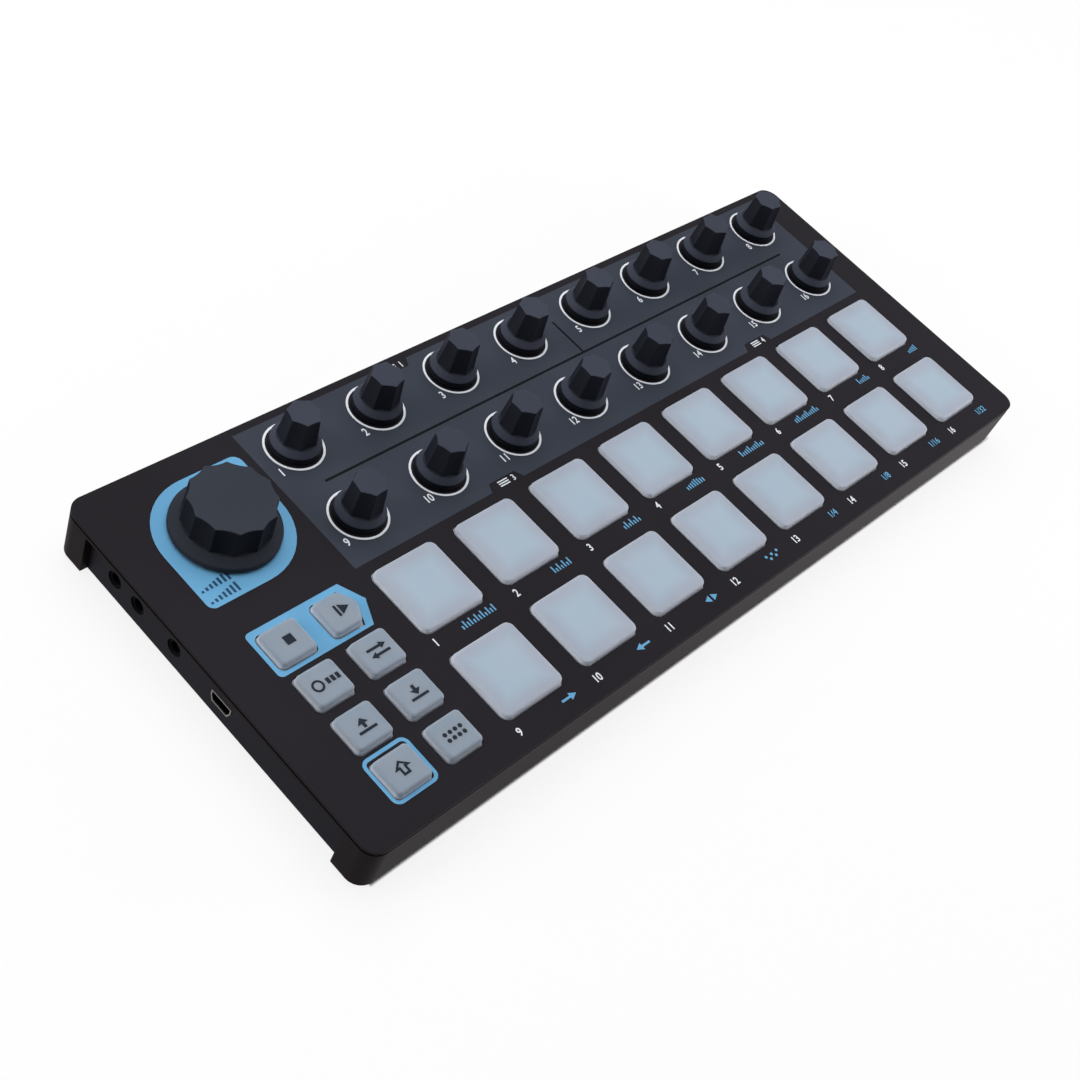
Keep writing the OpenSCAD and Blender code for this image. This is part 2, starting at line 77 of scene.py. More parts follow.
class Wire:
    def __init__(self, tree, socket=None):
        self.tree = tree
        self.socket = socket

    def add(self, kind, settings=None, inputs=None, out=0):
        node = self.tree.nodes.new("ShaderNode" + kind)
        for key, value in (settings or {}).items():
            setattr(node, key, value)
        for key, value in (inputs or {}).items():
            if isinstance(value, Wire):
                self.tree.links.new(value.socket, node.inputs[key])
            elif node.inputs[key].type == "RGBA" and len(value) == 3:
                node.inputs[key].default_value = (*value, 1)
            else:
                node.inputs[key].default_value = value
        return Wire(self.tree, node.outputs[out] if node.outputs else None)

    def maths(self, operation, first, second=0.0):
        return self.add("Math", {"operation": operation}, {0: first, 1: second})

    def __add__(self, other): return self.maths("ADD", self, other)
    def __radd__(self, other): return self.maths("ADD", other, self)
    def __sub__(self, other): return self.maths("SUBTRACT", self, other)
    def __rsub__(self, other): return self.maths("SUBTRACT", other, self)
    def __mul__(self, other): return self.maths("MULTIPLY", self, other)
    def __rmul__(self, other): return self.maths("MULTIPLY", other, self)
    def __truediv__(self, other): return self.maths("DIVIDE", self, other)
    def __rtruediv__(self, other): return self.maths("DIVIDE", other, self)
    def __abs__(self): return self.maths("ABSOLUTE", self)

    def ease(self, low, high):  # 0 below low, 1 above high
        return self.add("MapRange", {"interpolation_type": "SMOOTHSTEP"},
                        {"Value": self, "From Min": low, "From Max": high})

    def blend(self, factor, first, second):  # two colours
        return self.add("Mix", {"data_type": "RGBA"}, {0: factor, 6: first, 7: second}, 2)

    def axis(self, at, name):  # one coordinate of a place
        return self.add("SeparateXYZ", None, {"Vector": at}, name)

    def noise(self, at, scale, detail=2.0, roughness=0.5):
        return self.add("TexNoise", None, {"Vector": at, "Scale": scale, "Detail": detail,
                                           "Roughness": roughness})


def tone(red, green, blue):  # a screen colour as Blender counts it
    return tuple(((v / 255 + 0.055) / 1.055) ** 2.4 if v > 10 else v / 3294.6
                 for v in (red, green, blue))


def startMaterial(name):
    material = bpy.data.materials.new(name)
    material.use_nodes = True
    material.node_tree.nodes.clear()
    return material, Wire(material.node_tree)


def endMaterial(wire, sockets, height, distance, strength):
    sockets["Normal"] = wire.add("Bump", None, {"Height": height, "Distance": distance,
                                                "Strength": strength})
    shader = wire.add("BsdfPrincipled", None, sockets)
    wire.add("OutputMaterial", None, {"Surface": shader})


speckle = {  # shared by the finishes below
    "slowScale": 18, "slowSpan": (0.35, 0.65), "slowShare": 0.55,
    "fineScale": 2400, "fineSpan": (0.3, 0.7), "fineShare": 0.45, "fineDetail": 3, "fineRough": 0.6,
    "roughSwing": 0.16, "bump": 0.00004, "bumpStrength": 0.25,
    "bandSoft": 0.2, "mouthSpan": (0.1 * mm, 0.5 * mm),
}


# A surface with a slow change of tone, a fine speckle and a fine bump
def grainy(name, look):
    material, wire = startMaterial(name)
    at = wire.add("TexCoord", out="Object")
    slow = wire.noise(at, speckle["slowScale"])
    fine = wire.noise(at, look.get("fineScale", speckle["fineScale"]), speckle["fineDetail"],
                      speckle["fineRough"])
    share = (slow.ease(*speckle["slowSpan"]) * speckle["slowShare"]
             + fine.ease(*speckle["fineSpan"]) * speckle["fineShare"])
    body = wire.blend(share, look["dark"], look["light"])
    soft = speckle["bandSoft"]
    for low, high, depth in look.get("shadeBands", ()):  # painted shade: darker between two heights, in mm
        height = wire.axis(at, "Z")
        above = height.ease((low - soft) * mm, (low + soft) * mm)
        below = 1 - height.ease((high - soft) * mm, high * mm)
        body = wire.blend(above * below * depth, body, (0, 0, 0))
    if "mouth" in look:  # painted shade: dark behind a socket's front edge, inside its mouth
        behind = wire.axis(at, "X") - look["mouth"]
        body = wire.blend(behind.ease(*speckle["mouthSpan"]), body, look["inside"])
    sockets = {
        "Base Color": body,
        "Roughness": look["rough"] + (fine - 0.5) * speckle["roughSwing"],
        "Metallic": look.get("metal", 0.0),
        "Specular IOR Level": look.get("gloss", 0.5),
    }
    if "tint" in look:
        sockets["Specular Tint"] = look["tint"]
    endMaterial(wire, sockets, fine, look.get("bump", speckle["bump"]), speckle["bumpStrength"])
    return material


looks = {
    "plateLacquer": {"dark": tone(28, 26, 30), "light": tone(34, 32, 37), "rough": 0.5,
                     "gloss": 0.04, "fineScale": 3200},
    "caseLacquer": {"dark": tone(24, 18, 20), "light": tone(31, 25, 27), "rough": 0.44,
                    "gloss": 0.05, "tint": (1.0, 0.82, 0.87), "fineScale": 2600},
    "endPanelPaint": {"dark": tone(33, 33, 39), "light": tone(40, 40, 46), "rough": 0.55,
                      "gloss": 0.05},
    "slateInk": {"dark": tone(52, 57, 67), "light": tone(60, 65, 76), "rough": 0.5,
                 "gloss": 0.04, "fineScale": 3600},
    "blueInk": {"dark": tone(97, 156, 197), "light": tone(107, 168, 209), "rough": 0.5,
                "gloss": 0.06, "fineScale": 3600},
    "whiteInk": {"dark": tone(214, 219, 227), "light": tone(232, 236, 242), "rough": 0.5,
                 "gloss": 0.2},
    "blackInk": {"dark": tone(14, 16, 20), "light": tone(20, 21, 26), "rough": 0.6, "gloss": 0.03},
    "navyInk": {"dark": tone(24, 58, 88), "light": tone(34, 70, 102), "rough": 0.55, "gloss": 0.15},
    "legendInk": {"dark": tone(30, 34, 42), "light": tone(40, 45, 54), "rough": 0.6, "gloss": 0.05},
    "knobPlastic": {"dark": tone(57, 61, 72), "light": tone(66, 70, 82), "rough": 0.55,
                    "gloss": 0.02, "fineScale": 3400,
                    "shadeBands": ((22.8, 32.25, 0.63), (18.0, 21.0, 0.8))},  # painted shade: grip's sides darker than its top, and the flange's wall
    "levelPlastic": {"dark": tone(50, 54, 63), "light": tone(58, 62, 71), "rough": 0.55,
                     "gloss": 0.02, "fineScale": 3400,
                     "shadeBands": ((22.3, 31.2, 0.66), (18.0, 22.3, 0.28))},  # painted shade: grip's sides darker than its top, and the flange
    "blackPlastic": {"dark": tone(9, 9, 11), "light": tone(14, 14, 16), "rough": 0.6, "gloss": 0.04},
    "bafflePlastic": {"dark": tone(22, 22, 24), "light": tone(30, 30, 32), "rough": 0.7},
    "footRubber": {"dark": tone(24, 24, 25), "light": tone(33, 33, 34), "rough": 0.85,
                   "bump": 0.00008},
    "chipEpoxy": {"dark": tone(22, 22, 24), "light": tone(32, 32, 34), "rough": 0.6},
    "amberFilm": {"dark": tone(140, 96, 40), "light": tone(164, 116, 52), "rough": 0.35},
    "lampLens": {"dark": tone(216, 220, 214), "light": tone(232, 236, 230), "rough": 0.3},
    "shaftSteel": {"dark": tone(150, 151, 154), "light": tone(178, 179, 182), "rough": 0.3,
                   "metal": 1.0},
    "nickelPlate": {"dark": tone(132, 129, 126), "light": tone(156, 153, 150), "rough": 0.38,
                    "metal": 1.0},
    # the socket's metal carries painted shade inside its mouth, behind the front edge
    "socketMetal": {"dark": tone(150, 146, 143), "light": tone(172, 168, 165), "rough": 0.38,
                    "metal": 1.0, "mouth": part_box("usb_socket")[0].x, "inside": tone(26, 18, 18)},
    "blackenedSteel": {"dark": tone(44, 44, 46), "light": tone(62, 62, 64), "rough": 0.4,
                       "metal": 0.8},
    "basePaint": {"dark": tone(34, 34, 36), "light": tone(44, 44, 46), "rough": 0.5, "gloss": 0.3},
    "contactGold": {"dark": tone(196, 152, 72), "light": tone(220, 178, 96), "rough": 0.28,
                    "metal": 1.0},
}
finish = {name: grainy(name, look) for name, look in looks.items()}

softGrain = {
    "scale": 3000, "span": (0.3, 0.7), "share": 0.05, "cloudSpan": (0.35, 0.65),
    "roughSwing": 0.14, "bump": 0.00003, "bumpStrength": 0.2, "depth": 2.6 * mm,
}


# Silicone that is bluer in the middle of each key and paler at its sides: the paler sides, a glow at the
# sides and pale cloudy patches are painted light
def silicone(name, look):
    material, wire = startMaterial(name)
    at = wire.add("TexCoord", out="Object")
    away = []
    for axisName, (first, pitch) in zip("XY", look["grid"]):  # distance from the nearest key's middle
        cell = wire.maths("FRACT", (wire.axis(at, axisName) - (first - pitch / 2) * mm) / (pitch * mm))
        away.append(abs(cell - 0.5) * (pitch * mm))
    inner, outer = look["edge"]
    edge = wire.maths("MAXIMUM", away[0], away[1]).ease(inner * mm, outer * mm)
    slow = wire.noise(at, look["cloudScale"])
    fine = wire.noise(at, softGrain["scale"], speckle["fineDetail"], speckle["fineRough"])
    low, high = look["top"]
    face = wire.axis(at, "Z").ease(low * mm, high * mm)
    # painted light: the sides take a paler colour, as if lit through the silicone
    body = wire.blend(face, look["side"], wire.blend(edge, look["middle"], look["rim"]))
    # painted glow: pale cloudy patches of lamp light under the key, plus a fine grain, both in the pale
    # tone
    share = (slow.ease(*softGrain["cloudSpan"]) * look["cloud"]
             + fine.ease(*softGrain["span"]) * softGrain["share"])
    sockets = {
        "Base Color": wire.blend(share, body, look["glowAndGrain"]),
        "Roughness": look["rough"] + (fine - 0.5) * softGrain["roughSwing"],
        "Specular IOR Level": look["gloss"],
        "Subsurface Weight": look["glow"],
        "Subsurface Radius": (1.0, 1.0, 1.0),
        "Subsurface Scale": softGrain["depth"],
        "Emission Color": wire.blend(face, look["sideGlow"], (0, 0, 0)),  # painted glow at the sides, standing in for light through the silicone
        "Emission Strength": 1.0,
    }
    endMaterial(wire, sockets, fine, softGrain["bump"], softGrain["bumpStrength"])
    return material


padLook = {
    "grid": ((-89.1, 31.25), (-8.9, 31.7)),  # first middle and pitch, across and along
    "edge": (4.5, 11.4), "top": (18.4, 19.75),
    "middle": tone(164, 182, 197), "rim": tone(158, 165, 179),
    # painted light on the sides: a paler side colour and a painted glow
    "side": tone(229, 235, 244), "sideGlow": tone(46, 46, 49),
    # pale tone of the painted glow patches and of the fine grain
    "glowAndGrain": tone(176, 182, 196), "cloud": 0.2, "cloudScale": 90,
    "rough": 0.5, "gloss": 0.12, "glow": 0.8,
}
buttonLook = {
    "grid": ((-133.9, 18.0), (-2.95, 14.85)),
    "edge": (3.5, 6.0), "top": (18.5, 20.35),
    "middle": tone(138, 151, 165), "rim": tone(133, 145, 159),
    # painted light on the sides: a paler side colour and a painted glow
    "side": tone(204, 212, 223), "sideGlow": tone(40, 41, 44),
    # pale tone of the painted glow patches and of the fine grain
    "glowAndGrain": tone(156, 160, 172), "cloud": 0.2, "cloudScale": 120,
    "rough": 0.5, "gloss": 0.12, "glow": 0.8,
}
finish["padSilicone"] = silicone("padSilicone", padLook)
finish["buttonSilicone"] = silicone("buttonSilicone", buttonLook)

boardLook = {
    "dark": tone(16, 58, 38), "light": tone(24, 72, 48), "run": tone(60, 104, 64), "runShare": 0.5,
    "runScale": 160, "runWide": 0.05, "fineScale": 1800,
    "rough": 0.35, "roughSwing": 0.1, "bump": 0.00003, "bumpStrength": 0.3,
}


# Green board with faint copper runs
def boardLacquer(name, look):
    material, wire = startMaterial(name)
    at = wire.add("TexCoord", out="Object")
    runs = wire.add("TexBrick", None, {"Vector": at, "Scale": look["runScale"],
                                       "Mortar Size": look["runWide"]}, "Fac")
    fine = wire.noise(at, look["fineScale"])
    body = wire.blend(fine, look["dark"], look["light"])
    sockets = {
        "Base Color": wire.blend(runs * look["runShare"], body, look["run"]),
        "Roughness": look["rough"] + (fine - 0.5) * look["roughSwing"],
    }
    endMaterial(wire, sockets, runs, look["bump"], look["bumpStrength"])
    return material


finish["boardLacquer"] = boardLacquer("boardLacquer", boardLook)
print("materials made")


# The solids take their finish here, also those that a finer piece stands for

nodeFinish = {
    "top_plate": "plateLacquer", "case_frame": "caseLacquer", "connector_plate": "endPanelPaint",
    "base_plate": "basePaint", "rubber_feet": "footRubber", "casing_screws": "blackenedSteel",
    "main_board": "boardLacquer", "io_board": "boardLacquer", "board_parts": "chipEpoxy",
    "board_screws": "shaftSteel", "encoder_bodies": "blackPlastic", "encoder_bushings": "nickelPlate",
    "pad_frame": "bafflePlastic", "button_frame": "bafflePlastic", "pad_sensors": "amberFilm",
    "button_contacts": "contactGold", "pad_leds": "lampLens", "jack_sockets": "blackPlastic",
    "usb_socket": "socketMetal", "level_knob": "levelPlastic",
}
for nodeName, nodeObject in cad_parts.items():
    if nodeName in nodeFinish:
        finishName = nodeFinish[nodeName]
    elif nodeName.startswith("pad_"):
        finishName = "padSilicone"
    elif nodeName.endswith("_button"):
        finishName = "buttonSilicone"
    else:
        finishName = "knobPlastic"
    for slot in nodeObject.material_slots:
        slot.material = finish[finishName]


# Mesh helpers: shapes are made in mm and brought to metres at the end

mergeGap = 0.0005


# Edges that bend by more than sharp, in degrees, aren't smoothed over
def settle(bm, name, finishNames, body, stands=None, sharp=32):
    bmesh.ops.remove_doubles(bm, verts=bm.verts, dist=mergeGap)
    bmesh.ops.recalc_face_normals(bm, faces=bm.faces)
    bmesh.ops.scale(bm, vec=(mm, mm, mm), verts=bm.verts)
    for face in bm.faces:
        face.smooth = True
    for edge in bm.edges:
        edge.smooth = edge.calc_face_angle(0) < math.radians(sharp)
    mesh = bpy.data.meshes.new(name)
    bm.to_mesh(mesh)
    bm.free()
    for finishName in finishNames:
        mesh.materials.append(finish[finishName])
    piece = bpy.data.objects.new(name, mesh)
    scene.collection.objects.link(piece)
    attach(piece, body)
    if stands:
        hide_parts(stands)


def middleOf(node):
    low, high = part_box(node)
    return (low.x + high.x) / 2 / mm, (low.y + high.y) / 2 / mm


def pullLoop(bm, edges, place):  # carries a loop of edges on to its next place
    made = bmesh.ops.extrude_edge_only(bm, edges=edges)["geom"]
    fresh = {g for g in made if isinstance(g, bmesh.types.BMVert)}
    for vert in fresh:
        vert.co = place(vert.co)
    return [g for g in made if isinstance(g, bmesh.types.BMEdge) and set(g.verts) <= fresh]


def plainRadius(radius):
    return lambda angle: radius


ridgeEdge = {"blunt": 0.04, "tight": 14, "lift": 0.02}  # how the ridges are rounded off


def flutedRadius(ridge, flutes, depth, offset):  # hollows between softly rounded ridges
    half = math.pi / flutes
    chord = ridge * math.sin(half)
    hollow = (chord * chord + depth * depth) / (2 * depth)
    axis = ridge * math.cos(half) - depth + hollow
    cap, tight = ridge - ridgeEdge["blunt"], ridgeEdge["tight"]

    def radius(angle):
        off = (angle - offset) % (2 * half) - half
        wall = axis * math.cos(off) - math.sqrt(max(hollow ** 2 - (axis * math.sin(off)) ** 2, 0))
        smaller = -math.log(math.exp(-tight * wall) + math.exp(-tight * cap)) / tight
        return smaller + ridgeEdge["lift"]

    return radius


def turned(bm, steps, segments, x, y, start=0.0):  # a stack of loops round one axis
    made = bmesh.ops.create_circle(bm, cap_ends=False, segments=segments, radius=1)
    spun = Matrix.Rotation(start - math.pi / 2, 3, "Z")
    bmesh.ops.rotate(bm, cent=(0, 0, 0), matrix=spun, verts=made["verts"])
    edges = list({e for v in made["verts"] for e in v.link_edges})

    def placer(radius, z):
        def place(co):
            angle = math.atan2(co.y - y, co.x - x)
            reach = radius(angle)
            return Vector((x + reach * math.cos(angle), y + reach * math.sin(angle), z))
        return place

    bmesh.ops.translate(bm, vec=(x, y, 0), verts=made["verts"])
    first = placer(*steps[0])
    for vert in made["verts"]:
        vert.co = first(vert.co)
    bmesh.ops.contextual_create(bm, geom=edges)
    for radius, z in steps[1:]:
        edges = pullLoop(bm, edges, placer(radius, z))
    bmesh.ops.contextual_create(bm, geom=edges)


# Knobs

smallKnob = {
    "flutes": 7, "depth": 0.2, "segments": 140,
    "ridgeTop": 5.1, "ridgeFoot": 6.0, "rimRise": 2.8, "shoulder": 1.7,
    "flange": 7.5, "flangeLow": 0.5, "topRound": 0.16, "rimRound": 0.3,
    "bore": 4.0, "boreRise": 4.1, "shaft": 3.0,
    "turns": (35, 3, 1, 37, 13, 25, 15, 33, 42, 17, 0, 48, 14, 13, 8, 41),  # degrees to a ridge of each
}
bigKnob = {
    "flutes": 12, "depth": 0.5, "segments": 192,
    "ridgeTop": 12.3, "ridgeFoot": 12.6, "rimRise": 2.5, "shoulder": 1.5,
    "flange": 15.3, "flangeLow": 0.5, "topRound": 0.25, "rimRound": 0.45,
    "bore": 4.0, "boreRise": 4.1, "shaft": 3.0,
    "hollow": 9.38, "hub": 5.0, "roof": 2.0,
}
knobDetail = {  # the same on both
    "crownInset": 0.5, "gripLoops": (0.3, 0.6, 0.9), "rimLoops": (0.0, 0.33, 0.67, 1.0),
    "footProud": 0.02, "footStep": 0.1, "underRound": 0.25,
    "shaftRise": 6.0, "shaftRound": 0.3, "shaftSegments": 40, "sharp": 20,
}


def makeKnob(name, node, finishName, form, ridgeTurn=0.0):
    detail = knobDetail
    x, y = middleOf(node)
    low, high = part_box(node)
    bottom, top = low.z / mm, high.z / mm
    rim = plateTop + form["rimRise"]
    foot = rim + form["shoulder"]
    under = plateTop + form["flangeLow"]

    def grip(z, shrink=0.0):
        share = (top - z) / (top - foot)
        ridge = form["ridgeTop"] + (form["ridgeFoot"] - form["ridgeTop"]) * share
        inner = flutedRadius(ridge, form["flutes"], form["depth"], ridgeTurn)
        return lambda angle: inner(angle) - shrink

    crown = form["topRound"]
    steps = [(grip(top, crown + detail["crownInset"]), top), (grip(top, crown), top)]
    for degrees in (60, 30, 0):  # rounded edge of the crown
        a = math.radians(degrees)
        steps.append((grip(top, crown * (1 - math.cos(a))), top - crown * (1 - math.sin(a))))
    for share in detail["gripLoops"]:
        z = top - (top - foot) * share
        steps.append((grip(z), z))
    steps += [(grip(foot, -detail["footProud"]), foot + detail["footStep"]),
              (plainRadius(form["ridgeFoot"]), foot)]
    edge, ease = form["flange"], form["rimRound"]
    slope = Vector((form["ridgeFoot"] - edge, foot - rim)).normalized() * ease
    for share in detail["rimLoops"]:  # from the slope round to the rim's wall
        fromSlope, fromWall = (1 - share) ** 2, share ** 2
        steps.append((plainRadius(edge + slope.x * fromSlope),
                      rim + slope.y * fromSlope - ease * fromWall))
    steps += [(plainRadius(edge), under + detail["underRound"]),
              (plainRadius(edge - detail["underRound"]), under)]
    if "hollow" in form:
        roof = top - form["roof"]
        steps += [(plainRadius(form["hollow"]), under), (plainRadius(form["hollow"]), roof),
                  (plainRadius(form["hub"]), roof), (plainRadius(form["hub"]), under)]
    steps += [(plainRadius(form["bore"]), under),
              (plainRadius(form["bore"]), plateTop + form["boreRise"])]
    bm = bmesh.new()
    turned(bm, steps, form["segments"], x, y, ridgeTurn)
    plasticFaces = len(bm.faces)
    shaft, blunt = form["shaft"], detail["shaftRound"]
    shaftTop = plateTop + detail["shaftRise"]
    rod = [(plainRadius(shaft - blunt), shaftTop), (plainRadius(shaft), shaftTop - blunt),
           (plainRadius(shaft), bottom + blunt), (plainRadius(shaft - blunt), bottom)]
    turned(bm, rod, detail["shaftSegments"], x, y)
    bm.faces.ensure_lookup_table()
    for face in bm.faces[plasticFaces:]:
        face.material_index = 1
    settle(bm, name, [finishName, "shaftSteel"], node, node, detail["sharp"])


for i, degrees in enumerate(smallKnob["turns"], 1):
    makeKnob(f"dial_{i}", f"knob_{i}", "knobPlastic", smallKnob, math.radians(degrees))
makeKnob("level_dial", "level_knob", "levelPlastic", bigKnob)
print("knobs made")


# Pads and buttons

padForm = {
    "wide": 23.0, "deep": 23.0, "corner": 2.4, "round": 0.65, "draft": 0.1,
    "lip": 1.2, "lipLow": 16.0, "lipHigh": 17.2,
    "coreInset": 3.0, "coreCorner": 2.4, "coreLow": 12.2, "well": 2.6, "wellHigh": 13.1,
    "crown": ((0.93, 0.06), (0.78, 0.06), (0.5, 0.04)),  # size and rise of each ring of the dome
}
buttonForm = {
    "wide": 12.2, "deep": 11.4, "corner": 1.6, "round": 0.9, "draft": 0.2,
    "lip": 1.2, "lipLow": 16.0, "lipHigh": 17.2,
    "coreInset": 3.0, "coreCorner": 1.0, "coreLow": 12.2,
    "crown": (), "point": 2.8,  # only the play button is pointed
}
keyDetail = {  # the same on both
    "cornerSteps": 7, "bodyLap": 0.5, "coreLap": 0.4, "edgeSteps": 5,
    "flatInset": 0.25, "ringInset": 0.1, "wellInset": 0.4,
}


def roundedFace(bm, wide, deep, corner, x, y, z, point=0.0):
    if point:
        side, front, neck = wide / 2, deep / 2, wide / 2 - point
        spots = [(-side, -front), (neck, -front), (side, 0), (neck, front), (-side, front)]
        verts = [bm.verts.new((px, py, 0)) for px, py in spots]
        bm.faces.new(verts)
    else:
        verts = bmesh.ops.create_grid(bm, x_segments=1, y_segments=1, size=0.5)["verts"]
        bmesh.ops.scale(bm, vec=(wide, deep, 1), verts=verts)
    made = bmesh.ops.bevel(bm, geom=verts, offset=corner, affect="VERTICES",
                           segments=keyDetail["cornerSteps"], profile=0.5, material=-1)
    face = max({f for v in made["verts"] for f in v.link_faces}, key=lambda f: len(f.verts))
    bmesh.ops.translate(bm, vec=(x, y, z), verts=face.verts)
    return face


def raiseFace(bm, face, height):  # walls from a face that stays, to a new one
    made = bmesh.ops.extrude_face_region(bm, geom=[face], use_keep_orig=True)["geom"]
    fresh = [g for g in made if isinstance(g, bmesh.types.BMVert)]
    bmesh.ops.translate(bm, vec=(0, 0, height), verts=fresh)
    return next(g for g in made if isinstance(g, bmesh.types.BMFace))


def insetTop(bm, face, inward, upward):
    bmesh.ops.inset_region(bm, faces=[face], thickness=inward, use_even_offset=True)
    bmesh.ops.translate(bm, vec=(0, 0, upward), verts=face.verts)


def makeKey(name, node, finishName, form, point=0.0):
    detail = keyDetail
    x, y = middleOf(node)
    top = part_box(node)[1].z / mm
    wide, deep, lipLow = form["wide"], form["deep"], form["lipLow"]
    bm = bmesh.new()
    base = lipLow + detail["bodyLap"]
    face = roundedFace(bm, wide, deep, form["corner"], x, y, base, point)
    face = raiseFace(bm, face, plateTop - base)
    rise = top - plateTop - form["round"] - sum(upward for size, upward in form["crown"])
    insetTop(bm, face, form["draft"], rise)
    for i in range(detail["edgeSteps"]):  # rounded edge
        a, b = (math.radians(90 * k / detail["edgeSteps"]) for k in (i, i + 1))
        insetTop(bm, face, form["round"] * (math.cos(a) - math.cos(b)),
                 form["round"] * (math.sin(b) - math.sin(a)))
    insetTop(bm, face, detail["flatInset"], 0.0)
    for size, upward in form["crown"]:  # slightly domed top
        insetTop(bm, face, detail["ringInset"], upward)
        aboutMiddle = Matrix.Translation((-x, -y, 0))
        bmesh.ops.scale(bm, vec=(size, size, 1), space=aboutMiddle, verts=face.verts)
    lip = roundedFace(bm, wide + 2 * form["lip"], deep + 2 * form["lip"],
                      form["corner"] + form["lip"], x, y, lipLow)
    raiseFace(bm, lip, form["lipHigh"] - lipLow)
    coreTop = lipLow + detail["coreLap"]
    core = roundedFace(bm, wide - 2 * form["coreInset"], deep - 2 * form["coreInset"],
                       form["coreCorner"], x, y, coreTop)
    foot = raiseFace(bm, core, form["coreLow"] - coreTop)
    if "well" in form:  # room for the lamp
        bmesh.ops.inset_region(bm, faces=[foot], thickness=detail["wellInset"], use_even_offset=True)
        for vert in foot.verts:
            out = Vector((vert.co.x - x, vert.co.y - y)).normalized() * form["well"]
            vert.co = (x + out.x, y + out.y, vert.co.z)
        raiseFace(bm, foot, form["wellHigh"] - form["coreLow"])
        bmesh.ops.delete(bm, geom=[foot], context="FACES_ONLY")
    settle(bm, name, [finishName], node, node)


for i in range(1, gridCount + 1):
    makeKey(f"soft_pad_{i}", f"pad_{i}", "padSilicone", padForm)
buttonNames = ["stop", "play", "mode", "sync", "recall", "store", "shift", "channel"]
for word in buttonNames:
    makeKey(f"soft_{word}", f"{word}_button", "buttonSilicone", buttonForm,
            buttonForm["point"] if word == "play" else 0.0)
print("keys made")


# Ink on the plate: thin closed slabs

def arcPoints(x, y, radius, start, end, steps):
    angles = [math.radians(start + (end - start) * i / steps) for i in range(steps + 1)]
    return [(x + radius * math.cos(a), y + radius * math.sin(a)) for a in angles]


def circle(x, y, radius, steps=64):
    return arcPoints(x, y, radius, 0, 360, steps)[:-1]


def roundedBox(x0, x1, y0, y1, radii, steps=12):  # front left, front right, back right, back left
    fl, fr, br, bl = radii
    return (arcPoints(x0 + fl, y0 + fl, fl, 180, 270, steps)
            + arcPoints(x1 - fr, y0 + fr, fr, 270, 360, steps)
            + arcPoints(x1 - br, y1 - br, br, 0, 90, steps)
            + arcPoints(x0 + bl, y1 - bl, bl, 90, 180, steps))


def pointedBox(x0, y0, y1, corner, tip, steps=8):  # rounded on the left, with a tip on the right
    return (arcPoints(x0 + corner, y0 + corner, corner, 180, 270, steps) + tip
            + arcPoints(x0 + corner, y1 - corner, corner, 90, 180, steps))


def bar(x0, x1, y0, y1):
    return [(x0, y0), (x1, y0), (x1, y1), (x0, y1)]


def arrowHead(x, y, long, tall, way):
    return [(x, y - tall / 2), (x + long * way, y), (x, y + tall / 2)]


def curveMesh(data):
    holder = bpy.data.objects.new("inkShape", data)
    scene.collection.objects.link(holder)
    bpy.context.view_layer.update()
    ready = holder.evaluated_get(bpy.context.evaluated_depsgraph_get())
    mesh = bpy.data.meshes.new_from_object(ready)
    bpy.data.objects.remove(holder)
    return mesh


def addShape(bm, rings, low, high):  # rings inside rings are holes
    data = bpy.data.curves.new("inkShape", "CURVE")
    data.dimensions = "2D"
    data.fill_mode = "BOTH"
    data.extrude = (high - low) / 2
    for ring in rings:
        spline = data.splines.new("POLY")
        spline.points.add(len(ring) - 1)
        for point, (x, y) in zip(spline.points, ring):
            point.co = (x, y, 0, 1)
        spline.use_cyclic_u = True
    mesh = curveMesh(data)
    mesh.transform(Matrix.Translation((0, 0, (high + low) / 2)))
    bm.from_mesh(mesh)


lettering = {"size": 4, "curveSteps": 4, "narrow": 0.86, "stroke": 0.07}


def addFigures(bm, text, x, y, tall, low, high, form=lettering, atRight=False):
    data = bpy.data.curves.new("inkFigures", "FONT")
    data.body = text
    data.size = form["size"]
    data.extrude = (high - low) / 2
    data.resolution_u = form["curveSteps"]
    data.offset = form["stroke"]
    mesh = curveMesh(data)
    across = [v.co.x for v in mesh.vertices]
    along = [v.co.y for v in mesh.vertices]
    grow = tall / (max(along) - min(along))
    shift = max(across) if atRight else (min(across) + max(across)) / 2
    mesh.transform(Matrix.Translation((-shift, -(min(along) + max(along)) / 2, 0)))
    sized = Matrix.Diagonal((grow * form["narrow"], grow, 1, 1))
    mesh.transform(Matrix.Translation((x, y, (high + low) / 2)) @ sized)
    bm.from_mesh(mesh)


inkLow = {"low": plateTop, "high": plateTop + 0.03}  # first coat
inkHigh = {"low": plateTop, "high": plateTop + 0.06}  # over the first coat

knobSpots = [middleOf(f"knob_{i}") for i in range(1, gridCount + 1)]
padSpots = [middleOf(f"pad_{i}") for i in range(1, gridCount + 1)]
buttonSpots = {word: middleOf(f"{word}_button") for word in buttonNames}
levelSpot = middleOf("level_knob")

dialZone = {
    "x0": -102.4, "x1": 143.0, "y0": 6.2, "y1": 59.3,
    "tabs": (-42.4, 82.8), "tabWide": 13.5, "tabSlope": 1.5, "tabDeep": 3.0,
    "bare": 8.6,  # radius left without ink round each shaft
}
dialRing = {"outer": 8.98, "inner": 8.3, "steps": 96}
dialLines = [(-89.6, 129.2, 33.5, 34.3), (19.9, 20.7, 34.3, 48.7)]


